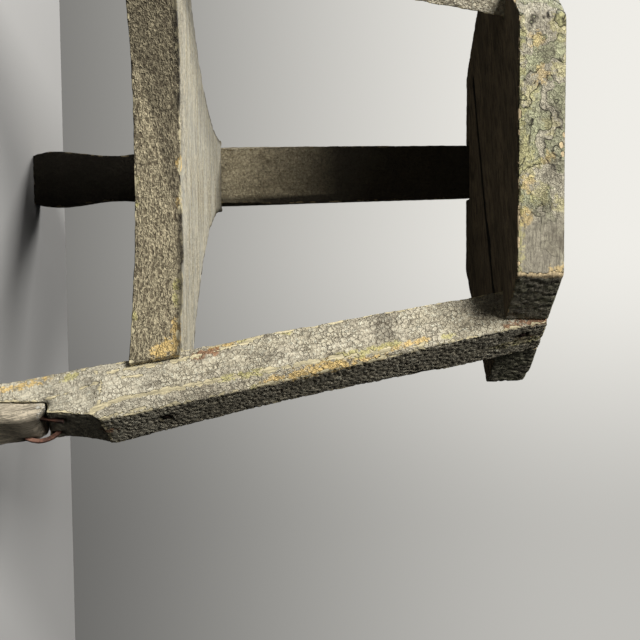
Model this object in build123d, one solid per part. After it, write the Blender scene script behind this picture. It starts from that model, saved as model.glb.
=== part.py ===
from build123d import *
import math
import os

# Three-legged wooden stool: hexagonal seat slab, splayed legs housed in its edge, three-armed board below.

# Driving dimensions in millimetres and degrees. The floor is z = 0 and the rear leg points along +Y.
seat_height = 450.0
seat_thickness = 32.0
seat_across_flats = 300.0
seat_corner_radius = 4.0
seat_worn_corner_radius = 10.0
seat_edge_ease = 1.5
# The hexagon is a little uneven: how far each corner stands off its true place along X, counted from +X.
seat_corner_drift = [2.5, 4.3, 0.0, 0.0, 0.0, -3.3]

leg_directions = {"leg_rear": 90.0, "leg_front_left": 210.0, "leg_front_right": 330.0}
repaired_leg = "leg_front_right"
leg_splay = 13.0
leg_top_width = 46.5
leg_top_depth = 31.0
leg_widening = 0.038
leg_deepening = 0.031
joint_clearance = 0.2

# Stop chamfers on the outer arrises: one broad, one narrow, as they were cut by hand.
broad_chamfer = 9.0
narrow_chamfer = 8.0
chamfer_top = 388.0
chamfer_full = 300.0
# Canted strips that clean up the inner arrises around the board and the ankle.
inner_cant_deep = 8.0
inner_cant_wide = 3.0
inner_cant_top = 250.0
inner_cant_full = 205.0

# Foot: a sharp shoulder under the board, a hollow ankle, then a toe that spreads to the floor.
shoulder_height = 135.5
cove_drop = 15.5
cove_inset = 3.0
ankle_drop = 63.5
ankle_inset = 1.0
ankle_width = 44.0
repaired_ankle_width = 52.0
toe_height = 24.0
toe_spread = 19.0
toe_width = 55.0
sole_width = 47.0
sole_tuck = 3.0

# Repair of one foot: the outer half is a separate block behind an upright seam.
splice_drop = 41.5
splice_top_tilt = 10.0
splice_seam_inset = 11.0
splice_gap = 0.8
splice_corner_cut = 5.0
splice_top_inset = 2.6
splice_belly_swell = 1.4
splice_belly_drop = 16.0
splice_base_swell = 2.8
splice_base_drop = 34.0

# Three-armed board between the legs.
board_top = 190.5
board_thickness = 36.0
board_horn_length = 8.0
board_horn_thickness = 8.0
# The waist past each leg, going round from it to the next one on its left as it faces outwards.
board_waist = {"leg_rear": 80.0, "leg_front_left": 87.0, "leg_front_right": 80.0}
board_edge_ease = 1.5
foot_wear_depth = 2.0
foot_wear_reach = 55.0
foot_wear_radius = 1000.0

# Forged nails: square tapered shanks with four-sided heads punched below the surface.
nail_shank = 4.0
nail_point = 1.6
nail_head = 7.0
nail_head_height = 1.8
nail_punched_in = 1.0
seat_nail_length = 62.0
seat_nail_drop = 16.0
seat_nail_offset = -6.0
board_nail_length = 72.0
board_nail_drop = 12.5
board_nail_offset = 2.0

# Cut nails that hold the foot block: one toed in through the cove, one bent over into a loop.
cut_nail_side = 3.0
toe_nail_length = 46.0
toe_nail_rise = 14.0
toe_nail_offset = -11.0
toe_nail_stands_out = 0.8
toe_nail_tilt = 8.0
bent_nail_rise = 2.4
bent_nail_drop = 10.0
bent_nail_bite = 11.8
bent_nail_span = 34.0
bent_nail_offset = 16.0

# Shrinkage crack along the grain of the seat's underside: distance from the axis, then across it.
crack_route = [
    (112.0, 10.0),
    (94.0, 17.0),
    (60.0, 17.0),
    (20.0, 23.0),
    (-25.0, 35.0),
    (-72.0, 41.0),
    (-114.0, 43.0),
]
crack_open_width = 2.2
crack_closed_width = 0.5
crack_depth = 20.0

seat_apothem = seat_across_flats / 2
splay_slope = math.tan(math.radians(leg_splay))
seat_underside = seat_height - seat_thickness
board_underside = board_top - board_thickness
splice_top = shoulder_height - splice_drop
ankle_height = shoulder_height - ankle_drop
cutter_reach = 60.0


def outer_reach(height):
    """Distance from the stool's axis to a leg's outer face."""
    return seat_apothem + splay_slope * (seat_height - height)


def leg_depth(height):
    return leg_top_depth + leg_deepening * (seat_height - height)


def leg_width(height):
    return leg_top_width + leg_widening * (seat_height - height)


def inner_reach(height):
    return outer_reach(height) - leg_depth(height)


def straight_leg(clearance=0.0):
    """The leg before shaping, in its own frame, with +X outwards. Grown by a clearance, it cuts its housings."""
    low = shoulder_height - cutter_reach
    high = seat_height
    if clearance:
        high = seat_height + cutter_reach
    with BuildPart() as blank:
        with BuildSketch(Plane.XZ.offset(-cutter_reach)):
            Polygon(
                (inner_reach(low) - clearance, low),
                (outer_reach(low) + clearance, low),
                (outer_reach(high) + clearance, high),
                (inner_reach(high) - clearance, high),
                align=None,
            )
        extrude(amount=2 * cutter_reach)
        with BuildSketch(Plane.YZ):
            Polygon(
                (-leg_width(low) / 2 - clearance, low),
                (leg_width(low) / 2 + clearance, low),
                (leg_width(high) / 2 + clearance, high),
                (-leg_width(high) / 2 - clearance, high),
                align=None,
            )
        extrude(amount=outer_reach(0) + cutter_reach, mode=Mode.INTERSECT)
    return blank.part


def ankle_reach():
    return outer_reach(shoulder_height) - ankle_inset


def toe_outline():
    """The toe's outer side, from its fullest point to the floor."""
    return [(ankle_reach() + toe_spread, toe_height), (ankle_reach() + toe_spread - sole_tuck, 0)]


def shaped_leg(width_at_ankle, foot_outline):
    """Full leg blank: the side outline crossed with the face outline gives the shoulder, ankle and toe."""
    shoulder = outer_reach(shoulder_height)
    with BuildPart() as leg:
        with BuildSketch(Plane.XZ.offset(-cutter_reach)):
            with BuildLine():
                Polyline(
                    toe_outline()[-1],
                    (inner_reach(0) + sole_tuck, 0),
                    (inner_reach(toe_height), toe_height),
                    (inner_reach(seat_height), seat_height),
                    (outer_reach(seat_height), seat_height),
                    (shoulder, shoulder_height),
                )
                Spline(
                    (shoulder, shoulder_height),
                    (shoulder - cove_inset, shoulder_height - cove_drop),
                    *foot_outline,
                    *toe_outline(),
                    tangents=[(-0.6, -1), (-0.3, -1)],
                )
            make_face()
        extrude(amount=2 * cutter_reach)
        half_top = leg_width(seat_height) / 2
        half_shoulder = leg_width(shoulder_height) / 2
        with BuildSketch(Plane.YZ):
            with BuildLine() as face_outline:
                Line((0, seat_height), (half_top, seat_height))
                Line((half_top, seat_height), (half_shoulder, shoulder_height))
                Spline(
                    (half_shoulder, shoulder_height),
                    (width_at_ankle / 2, ankle_height + 8),
                    (toe_width / 2, toe_height),
                    (sole_width / 2, 0),
                    tangents=[(-0.25, -1), (-0.5, -1)],
                )
                Line((sole_width / 2, 0), (0, 0))
                mirror(about=Plane.YZ)
            make_face()
        extrude(amount=outer_reach(0) + cutter_reach, mode=Mode.INTERSECT)
    return leg.part


def stop_chamfer(outward, side, cut_deep, cut_wide, stations):
    """Cutter for a stopped chamfer along one arris.

    outward is 1 for the outer face and -1 for the inner one, side is 1 or -1 along the width,
    and stations give heights with the share of the full cut reached there.
    """
    low, high = shoulder_height, seat_height
    reach = outer_reach if outward > 0 else inner_reach
    foot_of_arris = Vector(reach(low), side * leg_width(low) / 2, low)
    head_of_arris = Vector(reach(high), side * leg_width(high) / 2, high)
    along = (head_of_arris - foot_of_arris).normalized()
    facing = Vector(outward * cut_wide, side * cut_deep, 0).normalized()
    across = along.cross(facing).normalized()
    arris_plane = Plane(origin=foot_of_arris, x_dir=along, z_dir=across)
    full_cut = cut_deep * cut_wide / math.hypot(cut_deep, cut_wide)
    sign = 1 if arris_plane.y_dir.dot(facing) > 0 else -1
    route = [((height - low) / along.Z, -sign * full_cut * share) for height, share in stations]
    with BuildPart() as cutter:
        with BuildSketch(arris_plane.offset(-cutter_reach / 2)):
            with BuildLine():
                Spline(*route)
                Polyline(
                    route[-1],
                    (route[-1][0], sign * cutter_reach / 2),
                    (route[0][0], sign * cutter_reach / 2),
                    route[0],
                )
            make_face()
        extrude(amount=cutter_reach)
    return cutter.part


def forged_nail(length):
    """Nail pointing along -X with the top of its head at the origin."""
    with BuildPart() as nail:
        with BuildSketch(Plane.YZ.offset(-nail_head_height)):
            Rectangle(nail_head, nail_head)
        with BuildSketch(Plane.YZ):
            Rectangle(nail_head * 0.45, nail_head * 0.45)
        loft()
        with BuildSketch(Plane.YZ.offset(-nail_head_height)):
            Rectangle(nail_shank, nail_shank)
        with BuildSketch(Plane.YZ.offset(-length)):
            Rectangle(nail_point, nail_point)
        loft()
    return nail.part


def nail_in_leg(length, height, offset):
    """A forged nail driven square to the leg's outer face, in the leg's frame."""
    surface = outer_reach(height) - nail_punched_in / math.cos(math.radians(leg_splay))
    return Pos(surface, offset, height) * Rot(0, -leg_splay, 0) * forged_nail(length)


def nail_bore(length, height, offset):
    """The nail with the punched recess above its head: what it cuts out of the wood."""
    recess = Pos(outer_reach(height), offset, height) * Rot(0, -leg_splay, 0)
    recess *= Box(2 * nail_punched_in + nail_head_height, nail_head, nail_head)
    return nail_in_leg(length, height, offset) + recess


def turned(shape, direction):
    return Rot(0, 0, direction) * shape


# Seat slab: a hexagon cut by eye, whose legs sit in the middle of three alternate edges.
seat_corners = [
    Vector(seat_apothem / math.cos(math.radians(30)), 0, 0).rotate(Axis.Z, 60 * turn) + Vector(drift, 0, 0)
    for turn, drift in enumerate(seat_corner_drift)
]
with BuildPart() as slab:
    with BuildSketch(Plane.XY.offset(seat_underside)) as hexagon:
        Polygon(*seat_corners, align=None)
        fillet(hexagon.vertices().sort_by(Axis.X)[:-1], seat_corner_radius)
        fillet(hexagon.vertices().sort_by(Axis.X)[-1], seat_worn_corner_radius)
    extrude(amount=seat_thickness)
    fillet(slab.faces().sort_by(Axis.Z)[-1].edges(), seat_edge_ease)
seat_slab = slab.part

# The crack opens at the repaired leg's housing and closes towards the far side.
crack_edges = []
for step, (along, across) in enumerate(crack_route):
    share_closed = step / (len(crack_route) - 1)
    half_width = (crack_open_width * (1 - share_closed) + crack_closed_width * share_closed) / 2
    crack_edges.append(((along, across + half_width), (along, across - half_width)))
with BuildPart() as crack:
    with BuildSketch(Plane.XY.offset(seat_underside)):
        upper_edge = [upper for upper, _ in crack_edges]
        lower_edge = [lower for _, lower in reversed(crack_edges)]
        Polygon(*upper_edge, *lower_edge, align=None)
    extrude(amount=crack_depth)
seat_slab -= turned(crack.part, leg_directions[repaired_leg])

# Legs: shaped blanks with stopped chamfers that die out under the seat and run to a point at the shoulder.
broad_stations = [
    (shoulder_height - 14, -0.1),
    (shoulder_height + 8, 0.95),
    (shoulder_height + 40, 1.0),
    (chamfer_full - 60, 0.9),
    (chamfer_full, 0.7),
    (chamfer_top, 0.0),
]
narrow_stations = [
    (shoulder_height - 14, 0.1),
    (shoulder_height + 40, 0.3),
    (chamfer_full - 60, 1.0),
    (chamfer_full, 0.9),
    (chamfer_top, 0.0),
]
inner_stations = [
    (toe_height + 4, -0.1),
    (ankle_height, 1.0),
    (shoulder_height, 1.0),
    (inner_cant_full, 0.9),
    (inner_cant_top, 0.0),
]
chamfer_cutters = [
    stop_chamfer(1, -1, broad_chamfer, broad_chamfer, broad_stations),
    stop_chamfer(1, 1, narrow_chamfer, narrow_chamfer, narrow_stations),
    stop_chamfer(-1, -1, inner_cant_deep, inner_cant_wide, inner_stations),
    stop_chamfer(-1, 1, inner_cant_deep, inner_cant_wide, inner_stations),
]
housing = straight_leg(joint_clearance)
seat_nail_place = (seat_nail_length, seat_height - seat_nail_drop, seat_nail_offset)
board_nail_place = (board_nail_length, board_top - board_nail_drop, board_nail_offset)
# A sound foot is hollow at the ankle. The mended one is fuller, and rounds over at the joint.
sound_foot = [(ankle_reach(), ankle_height)]
mended_foot = [
    (ankle_reach() - splice_top_inset, splice_top),
    (ankle_reach() + splice_belly_swell, splice_top - splice_belly_drop),
    (ankle_reach() + splice_base_swell, splice_top - splice_base_drop),
]
legs = {}
for name in leg_directions:
    leg = shaped_leg(ankle_width, sound_foot)
    if name == repaired_leg:
        leg = shaped_leg(repaired_ankle_width, mended_foot)
    for cutter in chamfer_cutters:
        leg -= cutter
    leg -= nail_bore(*seat_nail_place)
    leg -= nail_bore(*board_nail_place)
    legs[name] = leg

# Repair: the outer half of one foot is cut away and a rounded block takes its place.
seam_reach = ankle_reach() - splice_seam_inset
block_depth = outer_reach(0) - seam_reach + cutter_reach
joint_slope = Pos(seam_reach, 0, splice_top) * Rot(-splice_top_tilt, 0, 0)
block_size = (block_depth, 2 * cutter_reach, splice_top + cutter_reach)
block_space = joint_slope * Box(*block_size, align=(Align.MIN, Align.CENTER, Align.MAX))
block_fill = Pos(joint_clearance, 0, -splice_gap) * block_space
foot_splice = (legs[repaired_leg] & block_fill).solid()
outer_face = foot_splice.faces().sort_by(Axis.X)[-1]
outer_arrises = outer_face.edges().filter_by(lambda edge: edge.length > splice_top / 2)
foot_splice = foot_splice.chamfer(splice_corner_cut, None, outer_arrises)
legs[repaired_leg] -= block_space

# Iron in the repair: a nail toed through the joint, and one bent into a loop outside the block.
toe_nail_reach = outer_reach(shoulder_height) - cove_inset + toe_nail_stands_out - cut_nail_side / 2
toe_nail_place = Pos(toe_nail_reach, toe_nail_offset, splice_top + toe_nail_rise) * Rot(0, toe_nail_tilt, 0)
splice_toe_nail = toe_nail_place * Box(
    cut_nail_side, cut_nail_side, toe_nail_length, align=(Align.CENTER, Align.CENTER, Align.MAX)
)
loop_reach = ankle_reach() + bent_nail_rise
loop_middle = splice_top - bent_nail_drop
with BuildPart() as loop:
    with BuildLine() as loop_route:
        ThreePointArc(
            (loop_reach - bent_nail_bite, bent_nail_offset, loop_middle + bent_nail_span / 2),
            (loop_reach, bent_nail_offset, loop_middle),
            (loop_reach - bent_nail_bite, bent_nail_offset, loop_middle - bent_nail_span / 2),
        )
    with BuildSketch(Plane(origin=loop_route.line @ 0, z_dir=loop_route.line % 0)):
        Rectangle(cut_nail_side, cut_nail_side)
    sweep()
splice_bent_nail = loop.part

for iron in (splice_toe_nail, splice_bent_nail):
    legs[repaired_leg] -= iron
    foot_splice -= iron

# Board: three arms with hollow sides, each end notched so that two short horns hold the leg.
arm_end_reach = inner_reach(board_top - board_thickness) + board_horn_length + 20
arm_half_width = leg_width(board_top) / 2 + board_horn_thickness
arm_names = list(leg_directions)
with BuildPart() as arms:
    with BuildSketch(Plane.XY.offset(board_underside)):
        with BuildLine():
            for name, following in zip(arm_names, arm_names[1:] + arm_names[:1]):
                direction, next_direction = leg_directions[name], leg_directions[following]
                near_corner = Vector(arm_end_reach, -arm_half_width, 0).rotate(Axis.Z, direction)
                far_corner = Vector(arm_end_reach, arm_half_width, 0).rotate(Axis.Z, direction)
                next_corner = Vector(arm_end_reach, -arm_half_width, 0).rotate(Axis.Z, next_direction)
                waist = Vector(board_waist[name], 0, 0).rotate(Axis.Z, direction + 60)
                Line(near_corner, far_corner)
                ThreePointArc(far_corner, waist, next_corner)
        make_face()
    extrude(amount=board_thickness)
    fillet(arms.faces().sort_by(Axis.Z)[-1].edges(), board_edge_ease)
lower_board = arms.part

# Each arm end slopes with its leg, a horn's length past the leg's inner face.
with BuildPart() as beyond_horns:
    with BuildSketch(Plane.XZ):
        Polygon(
            (inner_reach(board_underside - 10) + board_horn_length, board_underside - 10),
            (inner_reach(board_top + 10) + board_horn_length, board_top + 10),
            (outer_reach(0) + cutter_reach, board_top + 10),
            (outer_reach(0) + cutter_reach, board_underside - 10),
            align=None,
        )
    extrude(amount=2 * cutter_reach, both=True)

# Years of resting feet have hollowed the front edge.
wear_centre_depth = foot_wear_depth + foot_wear_reach**2 / (2 * foot_wear_radius)
wear_centre_height = board_top + foot_wear_radius - wear_centre_depth
foot_wear = Pos(0, -board_waist["leg_front_left"] - foot_wear_reach, wear_centre_height)
foot_wear *= Sphere(foot_wear_radius)
lower_board -= foot_wear

# The seat and board are cut by every leg's housing and nails.
seat_nails = []
board_nails = []
for direction in leg_directions.values():
    seat_slab -= turned(housing, direction)
    lower_board -= turned(beyond_horns.part, direction)
    lower_board -= turned(housing, direction)
    seat_nails.append(turned(nail_in_leg(*seat_nail_place), direction))
    board_nails.append(turned(nail_in_leg(*board_nail_place), direction))
for nail in seat_nails:
    seat_slab -= nail
for nail in board_nails:
    lower_board -= nail

pieces = {
    "seat_slab": seat_slab,
    "lower_board": lower_board,
    "foot_splice": turned(foot_splice, leg_directions[repaired_leg]),
    "splice_toe_nail": turned(splice_toe_nail, leg_directions[repaired_leg]),
    "splice_bent_nail": turned(splice_bent_nail, leg_directions[repaired_leg]),
    "seat_nails": Compound(children=seat_nails),
    "board_nails": Compound(children=board_nails),
}
for name, direction in leg_directions.items():
    pieces[name] = turned(legs[name], direction)

# The origin lies on the floor, in the stool's plane of symmetry, midway between its front and back.
outside = Compound(children=list(pieces.values())).bounding_box()
to_origin = Pos(0, -(outside.min.Y + outside.max.Y) / 2, 0)

os.makedirs("parts", exist_ok=True)
for name, shape in pieces.items():
    export_step(Compound(children=(to_origin * shape).solids()), f"parts/{name}.step")
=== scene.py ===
import math

import bmesh
import bpy
import numpy as np
from mathutils import Matrix, Vector, kdtree, noise


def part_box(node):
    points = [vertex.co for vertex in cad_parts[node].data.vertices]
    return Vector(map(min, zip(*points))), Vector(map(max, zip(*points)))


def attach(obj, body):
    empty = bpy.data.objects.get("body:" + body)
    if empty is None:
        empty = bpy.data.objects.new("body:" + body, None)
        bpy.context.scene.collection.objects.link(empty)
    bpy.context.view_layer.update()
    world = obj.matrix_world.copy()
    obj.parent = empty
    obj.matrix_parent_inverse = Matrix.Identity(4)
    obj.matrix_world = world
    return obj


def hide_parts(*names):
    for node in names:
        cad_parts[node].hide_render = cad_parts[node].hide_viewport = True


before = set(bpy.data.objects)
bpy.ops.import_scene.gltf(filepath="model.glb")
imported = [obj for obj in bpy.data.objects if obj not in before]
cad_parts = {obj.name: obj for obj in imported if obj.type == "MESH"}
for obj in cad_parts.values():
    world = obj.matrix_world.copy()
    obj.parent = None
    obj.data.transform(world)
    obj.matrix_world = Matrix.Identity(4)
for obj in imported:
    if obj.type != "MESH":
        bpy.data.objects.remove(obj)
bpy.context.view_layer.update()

# Seat: one thick plank sawn to a hexagon and dressed by hand, its grain running from the right
# front leg to the far left corner. Old oil paint, crazed and flaking, covers the top and edges.
# The underside was never painted and has gone dark brown, with a long shrinkage crack.
seat_half_width = 0.15
seat_axis = Vector((0.0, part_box("seat_slab")[0].y + seat_half_width, 0.0))
seat_corner_reach = 0.173
seat_facet = 0.0014
seat_grain_direction = 145.0
seat_pith = (0.02, -0.35, 0.0)
# The crack's route over the underside, from the mended leg to the far corner.
crack_route = ((0.107, -0.043), (0.069, -0.015), (0.028, 0.020), (-0.023, 0.057), (-0.076, 0.095))
crack_reach = 0.008
crack_depth = 0.0016
# How far wear reaches from an arris and painted shade from a nook, and how deep the pits in the paint are.
arris_reach = 0.006
nook_reach = 0.008
pit_depth = 0.0005
# Sizes across, through and along the grain: an adze's hollows, pebbles in the paint, bites in an arris.
hollow_sizes = (0.030, 0.030, 0.110)
pebble_sizes = (0.0034, 0.0034, 0.0050)
bite_sizes = (0.010, 0.010, 0.022)
small_bite_sizes = (0.004, 0.004, 0.009)
top_side, under_side, front_side = (0.0, 0.0, 1.0), (0.0, 0.0, -1.0), (0.0, -1.0, 0.0)


def dense_copy(node, name, facet):
    """A piece with the node's shape, in an even skin of small facets."""
    piece = bpy.data.objects.new(name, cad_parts[node].data.copy())
    bpy.context.scene.collection.objects.link(piece)
    remesh = piece.modifiers.new("skin", "REMESH")
    remesh.mode = "VOXEL"
    remesh.voxel_size = facet
    depsgraph = bpy.context.evaluated_depsgraph_get()
    skin = bpy.data.meshes.new_from_object(piece.evaluated_get(depsgraph))
    piece.modifiers.clear()
    piece.data = skin
    skin.materials.clear()
    skin.shade_smooth()
    return piece


def corners_of(skin):
    spots = np.empty(len(skin.vertices) * 3)
    skin.vertices.foreach_get("co", spots)
    return spots.reshape(-1, 3)


def normals_of(skin):
    normals = np.empty(len(skin.vertices) * 3)
    skin.vertex_normals.foreach_get("vector", normals)
    return normals.reshape(-1, 3)


def facing(skin, side, start):
    """How far the skin faces the side: 0 up to the start, then rising to 1."""
    return np.clip((normals_of(skin) @ np.array(side) - start) * 2, 0, 1)


def eased(values, skin, rounds):
    """Values on the skin's corners, carried towards the mean of their neighbours."""
    ends = np.empty(len(skin.edges) * 2, dtype=np.int64)
    skin.edges.foreach_get("vertices", ends)
    one, other = ends.reshape(-1, 2).T
    count = len(values)
    neighbours = np.bincount(one, minlength=count) + np.bincount(other, minlength=count)
    columns = values.reshape(count, -1).T.copy()
    for _ in range(rounds):
        for place, column in enumerate(columns):
            total = np.bincount(one, column[other], count) + np.bincount(other, column[one], count)
            columns[place] = (column + total / neighbours) / 2
    return columns.T.reshape(values.shape)


def move_corners(skin, spots):
    skin.vertices.foreach_set("co", spots.ravel())
    skin.update()


def knock_round(skin, knocked, rounds):
    """Rounds the skin where knocked is 1, and leaves it as it is where knocked is 0."""
    spots = corners_of(skin)
    rounded = eased(spots, skin, rounds)
    move_corners(skin, spots + (rounded - spots) * knocked[:, None])


def note(skin, name, values):
    """Writes a number or a vector for each corner of the skin, for its material to read."""
    kind = "FLOAT" if values.ndim == 1 else "FLOAT_VECTOR"
    layer = skin.attributes.new(name, kind, "POINT")
    layer.data.foreach_set("value" if values.ndim == 1 else "vector", values.astype(np.float32).ravel())


def grain_frame(along, across):
    """Rows across, through and along the grain."""
    along = Vector(along).normalized()
    through = along.cross(Vector(across)).normalized()
    return np.array((through.cross(along), through, along))


def ripple(spots, sizes, offset):
    """Smooth noise from -1 to 1 with its own size in each direction."""
    scaled = spots / np.array(sizes) + offset
    return np.array([noise.noise(spot) for spot in scaled.tolist()])


def sharp_edges(node, spacing=0.0005, least_turn=math.radians(9.0)):
    """Places along the node's sharp edges, evenly spaced: those on arrises, then those in nooks."""
    shape = bmesh.new()
    shape.from_mesh(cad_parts[node].data)
    bmesh.ops.remove_doubles(shape, verts=shape.verts, dist=1e-5)
    bmesh.ops.recalc_face_normals(shape, faces=shape.faces)
    arrises, nooks = [], []
    for edge in shape.edges:
        turn = edge.calc_face_angle_signed(0.0)
        if abs(turn) > least_turn:
            start, stop = (corner.co for corner in edge.verts)
            count = int((stop - start).length / spacing) + 2
            places = [start.lerp(stop, step / (count - 1)) for step in range(count)]
            (arrises if turn > 0 else nooks).extend(places)
    shape.free()
    return arrises, nooks


def nearness(spots, places, reach):
    """How near each spot is to the closest of the places: 1 at the place, 0 at the reach and beyond."""
    if not places:
        return np.zeros(len(spots))
    tree = kdtree.KDTree(len(places))
    for index, place in enumerate(places):
        tree.insert(place, index)
    tree.balance()
    gaps = np.array([tree.find(spot)[2] for spot in spots.tolist()])
    return np.clip(1 - gaps / reach, 0, 1)


def weather(
    piece, node, grain, hewn, pebbled, chip, seed, softened=2, pitted_sides=(), pit_sizes=(1, 1, 1),
):
    """Cuts hewing, pebbly paint, pits and ragged arrises inwards, and notes what the material reads."""
    skin = piece.data
    spots = eased(corners_of(skin), skin, softened)
    along = (spots - np.array(seat_axis)) @ grain.T
    arrises, nooks = sharp_edges(node)
    arris = nearness(spots, arrises, arris_reach)
    move_corners(skin, spots)
    pitting = np.zeros(len(spots))
    for side in pitted_sides:
        pitting = np.maximum(pitting, facing(skin, side, 0.4))
    hollows = ripple(along, hollow_sizes, seed)
    pebbles = ripple(along, pebble_sizes, seed + 7.3)
    bites = ripple(along, bite_sizes, seed + 3.1)
    bites += 0.5 * ripple(along, small_bite_sizes, seed + 5.7)
    cut = hewn * (0.5 + 0.5 * hollows) + pebbled * (0.5 + 0.5 * pebbles)
    cut += chip * np.clip(bites + 0.1, 0, 1) * np.clip(arris - 0.3, 0, 1)
    if pitted_sides:
        pits = ripple(along, pit_sizes, seed + 13.9) + 0.4 * ripple(along * 1.9, pit_sizes, seed + 17.3)
        cut += pit_depth * pitting * np.clip(pits * 2.2 + 0.25, 0, 1.6)
    outward = eased(normals_of(skin), skin, 3)
    move_corners(skin, spots - outward * cut[:, None])
    note(skin, "grain", along)
    note(skin, "arris", arris)
    note(skin, "nook", nearness(spots, nooks, nook_reach))
    note(skin, "pitting", pitting)
    note(skin, "pit_grain", along / pit_sizes * min(pit_sizes))
    return skin


def marks(skin, grain, drawn_out, ochre=(), lichen=(), rust=(), worn=(), smudged_and_shaded=()):
    """Notes how near each corner is to stains, worn wood, and smudges and painted shade.

    A spot is written x, y, z, reach and a streak x, y, z, x, y, z, reach, in mm from the seat's axis.
    """
    spots = (corners_of(skin) - np.array(seat_axis)) * 1000
    squeezed = grain.T / (1.0, 1.0, drawn_out)
    columns = []
    for kind in (ochre, lichen, rust, worn, smudged_and_shaded):
        nearest = np.zeros(len(spots))
        for mark in kind:
            start, stop, reach = np.array(mark[:3]), np.array(mark[-4:-1]), mark[-1]
            run = (stop - start) @ squeezed
            offsets = (spots - start) @ squeezed
            share = np.clip(offsets @ run / max(run @ run, 1e-6), 0, 1)
            gaps = np.linalg.norm(offsets - share[:, None] * run, axis=1)
            nearest = np.maximum(nearest, 1 - gaps / reach)
        columns.append(nearest)
    note(skin, "stains", np.stack(columns[:3], axis=1))
    note(skin, "worn", columns[3])
    note(skin, "smudged_and_shaded", columns[4])


def shade(red, green, blue):
    """A colour written from 0 to 255, as linear light."""
    return tuple(((part / 255 + 0.055) / 1.055) ** 2.4 for part in (red, green, blue)) + (1.0,)


def darker(colour, depth):
    return shade(*(part * depth for part in colour))


def add(tree, kind, feeds=None, **settings):
    """One shader node with its settings, each socket given a value or fed by another socket."""
    node = tree.nodes.new("ShaderNode" + kind)
    for name, value in settings.items():
        setattr(node, name, value)
    for socket, value in (feeds or {}).items():
        if isinstance(value, bpy.types.NodeSocket):
            tree.links.new(value, node.inputs[socket])
        else:
            node.inputs[socket].default_value = value
    return node


def blend(tree, share, under, over):
    """A mix of two colours, each fixed or fed by a socket."""
    return add(tree, "Mix", {0: share, 6: under, 7: over}, data_type="RGBA").outputs[2]


def reckon(tree, sum_kind, first, second):
    return add(tree, "Math", {0: first, 1: second}, operation=sum_kind).outputs[0]


def size_of(tree, value):
    return add(tree, "Math", {0: value}, operation="ABSOLUTE").outputs[0]


def ramp(tree, value, start, stop, low=0.0, high=1.0):
    """Carries a value from start..stop to low..high, eased at both ends."""
    feeds = {"Value": value, "From Min": start, "From Max": stop, "To Min": low, "To Max": high}
    return add(tree, "MapRange", feeds, interpolation_type="SMOOTHSTEP").outputs[0]


def effect(name, takes, gives):
    """An empty shader group with named sockets, and its two end nodes."""
    group = bpy.data.node_groups.new(name, "ShaderNodeTree")
    for label, value in takes.items():
        kind = "NodeSocketVector" if isinstance(value, tuple) else "NodeSocketFloat"
        group.interface.new_socket(label, in_out="INPUT", socket_type=kind).default_value = value
    for label in gives:
        group.interface.new_socket(label, in_out="OUTPUT", socket_type="NodeSocketFloat")
    return group, group.nodes.new("NodeGroupInput").outputs, group.nodes.new("NodeGroupOutput").inputs


def use(tree, group, feeds):
    """Places a shader group with its own values, and gives its outputs."""
    return add(tree, "Group", feeds, node_tree=group).outputs


def speckle(tree, place, scale):
    feeds = {"Vector": place, "Scale": scale, "Detail": 3.0, "Roughness": 0.7}
    return add(tree, "TexNoise", feeds).outputs["Fac"]


# Crazing: plates of paint parted by wandering cracks, and worm-like cracks where they hold together.
crazing, takes, gives = effect(
    "crazing",
    {"Place": (0.0, 0.0, 0.0), "Plate size": 0.003, "Gap": 0.08, "Wander": 0.004, "Open": 0.6},
    ("Crack", "Lip", "Plate tone"),
)
per_metre = reckon(crazing, "DIVIDE", 1.0, takes["Plate size"])
drift_scale = reckon(crazing, "MULTIPLY", per_metre, 0.9)
drifting = {"Vector": takes["Place"], "Scale": drift_scale, "Detail": 3.0, "Roughness": 0.65}
drift = add(crazing, "TexNoise", drifting)
centred = add(crazing, "VectorMath", {0: drift.outputs["Color"], 1: (0.5, 0.5, 0.5)}, operation="SUBTRACT")
shift = add(crazing, "VectorMath", {0: centred.outputs[0], "Scale": takes["Wander"]}, operation="SCALE")
wandering = add(crazing, "VectorMath", {0: takes["Place"], 1: shift.outputs[0]}, operation="ADD").outputs[0]
seams = {"Vector": wandering, "Scale": per_metre}
edges = add(crazing, "TexVoronoi", seams, feature="DISTANCE_TO_EDGE").outputs["Distance"]
cells = add(crazing, "TexVoronoi", seams).outputs["Color"]
worm_scale = reckon(crazing, "MULTIPLY", per_metre, 0.55)
worms = {"Vector": wandering, "Scale": worm_scale, "Detail": 1.0}
worm_noise = add(crazing, "TexNoise", worms).outputs["Fac"]
from_worm = size_of(crazing, reckon(crazing, "SUBTRACT", worm_noise, 0.5))
open_scale = reckon(crazing, "MULTIPLY", per_metre, 0.25)
opening = {"Vector": takes["Place"], "Scale": open_scale, "Detail": 2.0}
openness = add(crazing, "TexNoise", opening).outputs["Fac"]
threshold = ramp(crazing, takes["Open"], 0.0, 1.0, 0.7, 0.3)
parted = ramp(crazing, reckon(crazing, "SUBTRACT", openness, threshold), -0.08, 0.08)
seam_crack = ramp(crazing, edges, 0.0, takes["Gap"], 1.0, 0.0)
worm_crack = ramp(crazing, from_worm, 0.0, reckon(crazing, "MULTIPLY", takes["Gap"], 0.35), 0.7, 0.0)
crazing.links.new(blend(crazing, parted, worm_crack, seam_crack), gives["Crack"])
seam_lip = ramp(crazing, edges, 0.0, 0.12)
seam_lip = reckon(crazing, "MULTIPLY", seam_lip, ramp(crazing, edges, 0.12, 0.4, 1.0, 0.0))
worm_lip = ramp(crazing, from_worm, 0.0, 0.05)
worm_lip = reckon(crazing, "MULTIPLY", worm_lip, ramp(crazing, from_worm, 0.05, 0.14, 1.0, 0.0))
crazing.links.new(blend(crazing, parted, worm_lip, seam_lip), gives["Lip"])
crazing.links.new(add(crazing, "SeparateColor", {0: cells}).outputs[0], gives["Plate tone"])
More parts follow.
